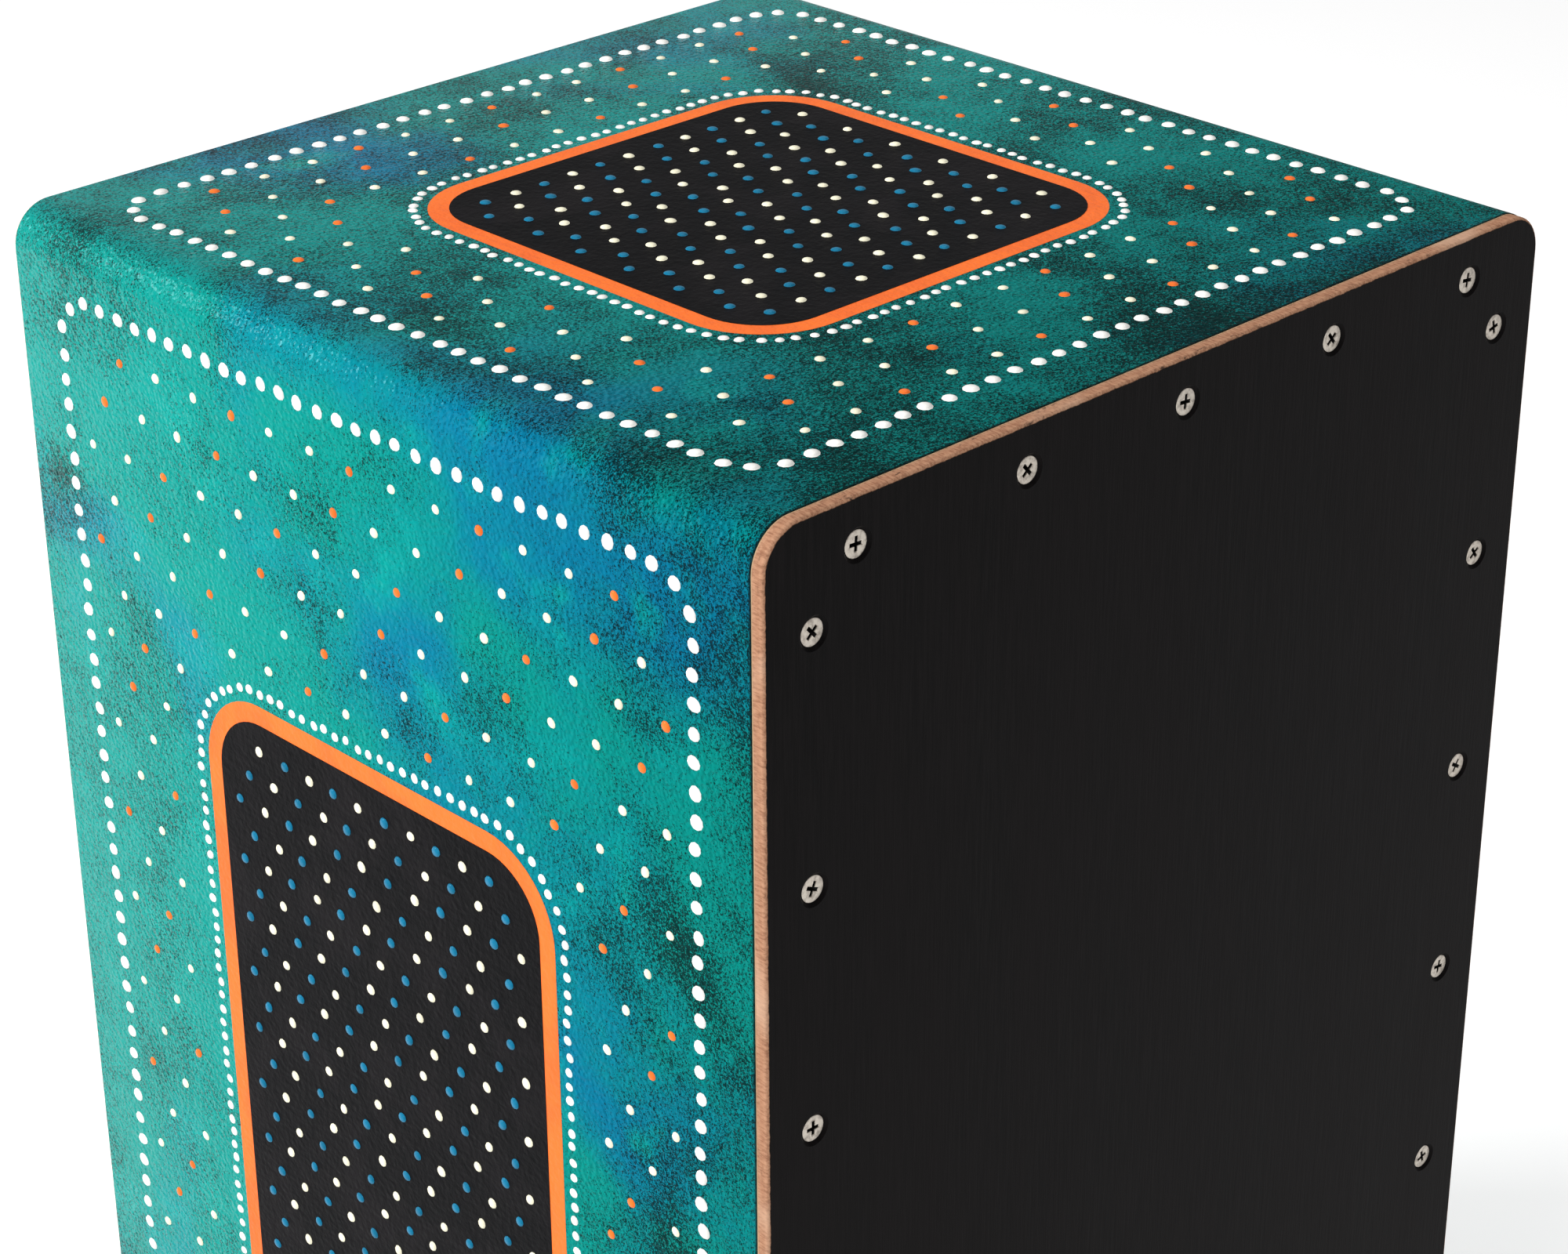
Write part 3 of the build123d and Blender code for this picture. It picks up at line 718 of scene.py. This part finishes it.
class CAJON_OT_bare_parts(CajonOperator, bpy.types.Operator):
    """Finishes for the carried-over pieces: panels, battens, blocks, feet, knob and small metal"""

    bl_idname = "cajon.bare_parts"
    bl_label = "Bare parts"

    def execute(self, context):
        wood = context.scene.cajon_wood
        upright = bare_wood("birch_upright", wood.birch, "Z")
        level = bare_wood("birch_level", wood.birch, "X")
        for node in ("left_panel", "right_panel"):
            give(node, upright)
        for node in ("top_panel", "bottom_panel"):
            give(node, level)
        pine = {axis: bare_wood(f"pine_{axis.lower()}", wood.pine, axis) for axis in "XYZ"}
        for end in ("front", "rear"):
            for place_name, axis in (("top", "X"), ("bottom", "X"), ("left", "Z"), ("right", "Z")):
                give(f"{end}_{place_name}_batten", pine[axis])
        beech = bare_wood("beech_block", wood.beech, "Z", 40.0)
        for hand in ("left", "right"):
            give(f"{hand}_pivot_block", beech)
            for level_name in ("top", "bottom"):
                give(f"{level_name}_{hand}_glue_block", pine["Y"])
        give("snare_bar", bare_wood("beech_bar", wood.beech, "X", 40.0, 0.5))
        foot = rubber("foot_rubber", (0.012, 0.012, 0.013))
        for node in ("foot_front_left", "foot_front_right", "foot_rear_left", "foot_rear_right"):
            give(node, foot)
        zinc = metal("zinc_plate", (0.66, 0.67, 0.68), 0.34)
        oxide = metal("black_oxide", (0.05, 0.05, 0.055), 0.45)
        for node, material in (
            ("foot_washers", zinc), ("foot_screws", oxide), ("pivot_block_screws", zinc),
            ("clamp_screws", oxide), ("knob_stud", zinc),
            ("lock_knob", rubber("knob_plastic", (0.02, 0.02, 0.022))),
            ("knob_insert", metal("turned_brass", (0.78, 0.57, 0.25), 0.30)),
            ("snare_clamp_left", metal("clamp_steel", (0.62, 0.61, 0.60), 0.32)),
        ):
            give(node, material)
        give("snare_clamp_right", bpy.data.materials["clamp_steel"])
        return {"FINISHED"}


class CAJON_OT_plates(CajonOperator, bpy.types.Operator):
    """Black stain and bare ply edges for the front and rear plates"""

    bl_idname = "cajon.plates"
    bl_label = "Plates"

    def execute(self, context):
        wood = context.scene.cajon_wood
        corner = context.scene.cajon_paint.corner
        low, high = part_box("tapa")
        give("tapa", stained_plate("tapa_stain", wood, low.y, high.y - low.y, 1.0, corner))
        mounts = {mount["name"]: mount for mount in frame["record"]["mounts"]}
        hole = mounts["sound_hole"]
        low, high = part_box("rear_plate")
        round_hole = (hole["pos_m"][2], hole["dims"]["r_mm"] * MM)
        give("rear_plate", stained_plate("rear_stain", wood, high.y, high.y - low.y, -1.0, corner, round_hole))
        return {"FINISHED"}


class CAJON_OT_coat(CajonOperator, bpy.types.Operator):
    """The painted coat that wraps the shell's outside and its rear edges"""

    bl_idname = "cajon.coat"
    bl_label = "Painted coat"

    def execute(self, context):
        paint = context.scene.cajon_paint
        bm = bmesh.new()
        size = Vector((SHELL_RIGHT - SHELL_LEFT, SHELL_TOP - SHELL_BOTTOM, 0.0))
        size += Vector((2 * paint.coat, 2 * paint.coat, 0.0))
        bmesh.ops.create_grid(bm, x_segments=1, y_segments=1, size=0.5)
        bmesh.ops.scale(bm, vec=(size.x, size.y, 1.0), verts=bm.verts)
        bmesh.ops.rotate(bm, cent=(0, 0, 0), matrix=Matrix.Rotation(math.pi / 2, 3, "X"), verts=bm.verts)
        bmesh.ops.translate(bm, vec=(0.0, SHELL_FRONT, SHELL_MIDDLE_Z), verts=bm.verts)
        bmesh.ops.bevel(
            bm, geom=bm.verts[:], offset=paint.corner + paint.coat, segments=14, profile=0.5,
            affect="VERTICES", material=-1,
        )
        grown = bmesh.ops.extrude_face_region(bm, geom=bm.faces[:])
        far = [item for item in grown["geom"] if isinstance(item, bmesh.types.BMVert)]
        depth = SHELL_BACK + paint.coat - SHELL_FRONT
        bmesh.ops.translate(bm, vec=(0.0, depth, 0.0), verts=far)
        bm.normal_update()
        ends = [face for face in bm.faces if abs(face.normal.y) > 0.9]
        rear = max(ends, key=lambda face: face.calc_center_median().y)
        front = min(ends, key=lambda face: face.calc_center_median().y)
        bmesh.ops.inset_region(bm, faces=[rear], thickness=PANEL + paint.coat, use_even_offset=True)
        bmesh.ops.delete(bm, geom=[rear, front], context="FACES")
        bmesh.ops.recalc_face_normals(bm, faces=bm.faces)
        rear_edge = [
            edge for edge in bm.edges
            if len(edge.link_faces) == 2 and edge.calc_face_angle(0.0) > 1.2
        ]
        bmesh.ops.bevel(
            bm, geom=rear_edge, offset=0.9 * MM, segments=4, profile=0.5, affect="EDGES", material=-1,
        )
        bmesh.ops.recalc_face_normals(bm, faces=bm.faces)
        middle = Vector((0, 0, SHELL_MIDDLE_Z))
        if sum(face.normal.dot(face.calc_center_median() - middle) for face in bm.faces) < 0:
            bmesh.ops.reverse_faces(bm, faces=bm.faces)
        piece = to_piece(bm, "paint_coat", ground_paint(paint), sharp=50.0)
        wall = piece.modifiers.new("Wall", "SOLIDIFY")
        wall.thickness = paint.coat * 0.8
        wall.offset = -1.0
        return {"FINISHED"}


class CAJON_OT_patterns(CajonOperator, bpy.types.Operator):
    """The plain dotted patterns on the top and the two sides"""

    bl_idname = "cajon.patterns"
    bl_label = "Patterns"

    def execute(self, context):
        paint = context.scene.cajon_paint
        dot_paints = {
            kind: dot_paint(f"dot_{kind}", tuple(getattr(paint, kind)))
            for kind in ("white", "cream", "orange", "dot_blue")
        }
        shape_paints = {
            "black": shape_paint("shape_black", paint.black, (0.006, 0.005, 0.006), 0.8, 0.5, 0.05),
            "orange": shape_paint("shape_orange", paint.orange, (0.70, 0.10, 0.02), 0.45),
        }
        unit = dome(paint.dot_height)
        for face in ("left", "top", "right"):
            pattern = Pattern(face, paint.seed)
            self.shapes(pattern, paint, shape_paints)
            self.dots(pattern, paint, dot_paints, unit)
        bpy.data.meshes.remove(unit)
        return {"FINISHED"}

    @staticmethod
    def shapes(pattern, paint, materials):
        """One piece for each shape: a thin plate that lies on the coat."""
        for kind, outline, layer in sorted(pattern.plates, key=lambda plate: plate[0]):
            bm = bmesh.new()
            made = bmesh.ops.create_circle(bm, cap_ends=True, segments=len(outline), radius=1.0)["verts"]
            for vertex, spot in zip(made, outline):
                point, normal = on_face(pattern.face, spot.x, spot.y)
                vertex.co = point + normal * paint.coat * 0.5
            grown = bmesh.ops.extrude_face_region(bm, geom=[made[0].link_faces[0]])
            upper = [item for item in grown["geom"] if isinstance(item, bmesh.types.BMVert)]
            outward = on_face(pattern.face, pattern.middle.x, pattern.middle.y)[1]
            lift = outward * (paint.coat * 0.5 + layer * paint.layer)
            bmesh.ops.translate(bm, vec=lift, verts=upper)
            bmesh.ops.recalc_face_normals(bm, faces=bm.faces)
            name = f"painted_{kind}_{pattern.face}"
            to_piece(bm, name, materials[kind], sharp=40.0)

    @staticmethod
    def dots(pattern, paint, materials, unit):
        """One piece for each paint: every dot is a low dome set on the paint under it."""
        for kind, spots in pattern.dots.items():
            bm = bmesh.new()
            for spot, across, layer in spots:
                point, normal = on_face(pattern.face, spot.x, spot.y)
                radius = across / 2 * MM
                matrix = normal.to_track_quat("Z", "Y").to_matrix().to_4x4()
                turn = Matrix.Rotation(pattern.chance.uniform(0, math.pi), 4, "Z")
                stretch = pattern.chance.uniform(0.93, 1.09)
                scale = Matrix.Diagonal((radius * stretch, radius / stretch, radius, 1.0))
                matrix = matrix @ turn @ scale
                matrix.translation = point + normal * (paint.coat + (layer - 0.5) * paint.layer)
                stamp(bm, unit, matrix)
            to_piece(bm, f"dots_{kind}_{pattern.face}", materials[kind], sharp=70.0)


class CAJON_OT_plate_screws(CajonOperator, bpy.types.Operator):
    """Flat-head cross-recess wood screws in the front and rear plates"""

    bl_idname = "cajon.plate_screws"
    bl_label = "Plate screws"

    def execute(self, context):
        for node, outward in (("tapa_screws", -1.0), ("rear_plate_screws", 1.0)):
            low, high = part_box(node)
            head_face = low.y if outward < 0 else high.y
            unit = self.screw((high.y - low.y) / MM)
            facing = Vector((0.0, outward, 0.0)).to_track_quat("Z", "Y").to_matrix().to_4x4()
            bm = bmesh.new()
            for number, (x, z) in enumerate(self.heads(node)):
                matrix = facing @ Matrix.Rotation(number * SCREW_TURN, 4, "Z")
                matrix.translation = Vector((x, head_face, z))
                stamp(bm, unit, matrix)
            nickel = screw_metal(head_face, outward)
            piece = to_piece(bm, f"{node}_detailed", nickel, sharp=35.0)
            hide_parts(node)
            bpy.data.meshes.remove(unit)
        return {"FINISHED"}

    @staticmethod
    def heads(node):
        """The middle of each screw's head, found from the solids that the frame holds."""
        bm = bmesh.new()
        bm.from_mesh(frame["nodes"][node].data)
        bmesh.ops.remove_doubles(bm, verts=bm.verts, dist=1e-6)
        places, seen = [], set()
        for vertex in bm.verts:
            if vertex in seen:
                continue
            island, queue = [], [vertex]
            seen.add(vertex)
            while queue:
                here = queue.pop()
                island.append(here)
                for edge in here.link_edges:
                    other = edge.other_vert(here)
                    if other not in seen:
                        seen.add(other)
                        queue.append(other)
            xs = [v.co.x for v in island]
            zs = [v.co.z for v in island]
            places.append(((min(xs) + max(xs)) / 2, (min(zs) + max(zs)) / 2))
        bm.free()
        if not places:
            raise RuntimeError(f"no screws were found in {node}")
        return sorted((round(x, 5), round(z, 5)) for x, z in places)

    @staticmethod
    def screw(long):
        """A screw along -Z, long in millimetres, its head's flat at the origin."""
        bm = bmesh.new()
        rim = bmesh.ops.create_circle(bm, cap_ends=False, segments=24, radius=SCREW_RIM * MM)["verts"]
        rim_edges = {edge for vertex in rim for edge in vertex.link_edges}
        cross = bmesh.ops.create_circle(bm, cap_ends=False, segments=12, radius=1.0)["verts"]
        arm, half = CROSS_ARM * MM, CROSS_HALF * MM
        corners = (Vector((arm, -half, 0)), Vector((arm, half, 0)), Vector((half, half, 0)))
        for step, vertex in enumerate(cross):
            vertex.co = Matrix.Rotation(math.pi / 2 * (step // 3), 3, "Z") @ corners[step % 3]
        cross_edges = {edge for vertex in cross for edge in vertex.link_edges}
        bmesh.ops.bridge_loops(bm, edges=[*rim_edges, *cross_edges])
        ring = list(cross_edges)
        for scale, drop in CROSS_STEPS:
            ring = CAJON_OT_plate_screws.sleeve(bm, ring, scale, drop * MM)
        bmesh.ops.contextual_create(bm, geom=ring)
        ring = list(rim_edges)
        for radius, drop in (*HEAD_STEPS, (SHANK_RADIUS, long - TIP_LENGTH), (TIP_RADIUS, long)):
            ring = CAJON_OT_plate_screws.sleeve(bm, ring, None, drop * MM, radius * MM)
        bmesh.ops.contextual_create(bm, geom=ring)
        bmesh.ops.recalc_face_normals(bm, faces=bm.faces)
        mesh = bpy.data.meshes.new("screw")
        bm.to_mesh(mesh)
        bm.free()
        return mesh

    @staticmethod
    def sleeve(bm, ring, scale, drop, radius=None):
        """Extrudes a ring of edges to a depth, scaled or set to a radius, and returns the new ring."""
        grown = bmesh.ops.extrude_edge_only(bm, edges=ring)["geom"]
        for vertex in (item for item in grown if isinstance(item, bmesh.types.BMVert)):
            flat = Vector((vertex.co.x, vertex.co.y, 0.0))
            flat = flat.normalized() * radius if radius else flat * scale
            vertex.co = Vector((flat.x, flat.y, -drop))
        return [item for item in grown if isinstance(item, bmesh.types.BMEdge)]


class CAJON_OT_snare_wires(CajonOperator, bpy.types.Operator):
    """Two sets of coiled snare strands, soldered to a base strip and a tip strip"""

    bl_idname = "cajon.snare_wires"
    bl_label = "Snare wires"

    strands: IntProperty(name="Strands", description="Strands in each set", default=10)
    coil_turns: IntProperty(name="Turns", description="Turns of each coil", default=88)
    wire: FloatProperty(name="Wire", description="Radius of the wire", default=0.2 * MM, unit="LENGTH")

    def execute(self, context):
        steel = metal("snare_wire", (0.74, 0.73, 0.71), 0.24, 0.25)
        joint = next(j for j in frame["joints"] if j["name"] == "snare_swivel")
        pivot = Vector(joint["pos_m"])
        for hand in ("left", "right"):
            node = f"snare_wires_{hand}"
            low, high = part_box(node)
            lean, near, far = self.slope(node, pivot)
            matrix = Matrix.Translation(pivot) @ Matrix.Rotation(lean, 4, "X")
            wide = high.x - low.x
            middle = (low.x + high.x) / 2
            bm = bmesh.new()
            for centre, tall in ((0.0, BASE_STRIP), (far - TIP_INSET * MM, TIP_STRIP)):
                self.strip(bm, middle, wide, centre, tall * MM, near, matrix)
            start, pitch = COIL_START * MM, COIL_PITCH * MM
            coil = self.coil(far - start - COIL_END * MM)
            for strand in range(self.strands):
                x = middle + (strand - (self.strands - 1) / 2) * pitch
                spot = Matrix.Translation((x, -(near + COIL_STAND_OFF * MM), start))
                stamp(bm, coil, matrix @ spot)
            bpy.data.meshes.remove(coil)
            piece = to_piece(bm, f"{node}_coiled", steel, "snare_bar", 40.0)
            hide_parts(node)
        return {"FINISHED"}

    @staticmethod
    def slope(node, pivot):
        """The wires' lean about X, the strips' distance from the pivot, and the wires' reach."""
        mesh = frame["nodes"][node].data
        back = max((face for face in mesh.polygons if face.normal.y > 0.9), key=lambda face: face.area)
        lean = math.atan2(back.normal.z, back.normal.y)
        near = -(Vector(back.center) - pivot).dot(back.normal)
        up = Vector((0.0, -math.sin(lean), math.cos(lean)))
        return lean, near, max((vertex.co - pivot).dot(up) for vertex in mesh.vertices)

    @staticmethod
    def strip(bm, x, wide, centre, tall, near, matrix):
        """A stamped strip with softened edges, across all strands."""
        thick = STRIP_THICK * MM
        made = bmesh.ops.create_cube(bm, size=1.0)["verts"]
        bmesh.ops.scale(bm, vec=(wide, thick, tall), verts=made)
        edges = list({edge for vertex in made for edge in vertex.link_edges})
        soft = bmesh.ops.bevel(
            bm, geom=edges, offset=STRIP_EDGE * MM, segments=2, profile=0.5, affect="EDGES", material=-1,
        )
        verts = list({vertex for face in soft["faces"] for vertex in face.verts})
        bmesh.ops.translate(bm, vec=(x, -(near + thick / 2), centre), verts=verts)
        bmesh.ops.transform(bm, matrix=matrix, verts=verts)

    def coil(self, long):
        """One strand: a close coil of fine wire along +Z, with closed ends."""
        bm = bmesh.new()
        steps = 8
        ring = bmesh.ops.create_circle(bm, cap_ends=True, segments=5, radius=self.wire)["verts"]
        bmesh.ops.rotate(bm, cent=(0, 0, 0), matrix=Matrix.Rotation(math.pi / 2, 3, "X"), verts=ring)
        bmesh.ops.translate(bm, vec=(COIL_RADIUS * MM, 0.0, 0.0), verts=ring)
        edges = list(ring[0].link_faces[0].edges)
        total = self.coil_turns * steps
        rise = (0.0, 0.0, long / total)
        spun = bmesh.ops.spin(
            bm, geom=[*ring, *edges], cent=(0, 0, 0), axis=(0, 0, 1), dvec=rise,
            angle=2 * math.pi * self.coil_turns, steps=total, use_merge=False, use_duplicate=False,
        )
        last = [item for item in spun["geom_last"] if isinstance(item, bmesh.types.BMEdge)]
        bmesh.ops.contextual_create(bm, geom=last)
        bmesh.ops.recalc_face_normals(bm, faces=bm.faces)
        mesh = bpy.data.meshes.new("coil")
        bm.to_mesh(mesh)
        bm.free()
        return mesh


class CAJON_PT_sidebar(bpy.types.Panel):
    """The cajon's operators and settings"""

    bl_idname = "CAJON_PT_sidebar"
    bl_label = "Cajon"
    bl_space_type = "VIEW_3D"
    bl_region_type = "UI"
    bl_category = "Cajon"

    def draw(self, context):
        for step in STEPS:
            self.layout.operator(step.bl_idname)
        for name, group in SETTINGS.items():
            box = self.layout.box()
            for key in group.__annotations__:
                box.prop(getattr(context.scene, name), key)


SETTINGS = {"cajon_paint": CajonPaint, "cajon_wood": CajonWood, "cajon_stage": CajonStage}
STEPS = (
    CAJON_OT_stage,
    CAJON_OT_bare_parts,
    CAJON_OT_plates,
    CAJON_OT_coat,
    CAJON_OT_patterns,
    CAJON_OT_plate_screws,
    CAJON_OT_snare_wires,
)
CLASSES = (*SETTINGS.values(), *STEPS, CAJON_PT_sidebar)


def register():
    """Registers the classes and hangs the settings on the scene."""
    for cls in CLASSES:
        bpy.utils.register_class(cls)
    for name, group in SETTINGS.items():
        setattr(bpy.types.Scene, name, PointerProperty(type=group))


def unregister():
    """Takes the settings and the classes away again."""
    for name in SETTINGS:
        delattr(bpy.types.Scene, name)
    for cls in reversed(CLASSES):
        bpy.utils.unregister_class(cls)


def main():
    """Makes every piece in order."""
    register()
    for step in STEPS:
        group, name = step.bl_idname.split(".")
        getattr(getattr(bpy.ops, group), name)()
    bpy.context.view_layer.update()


if __name__ == "__main__":
    main()
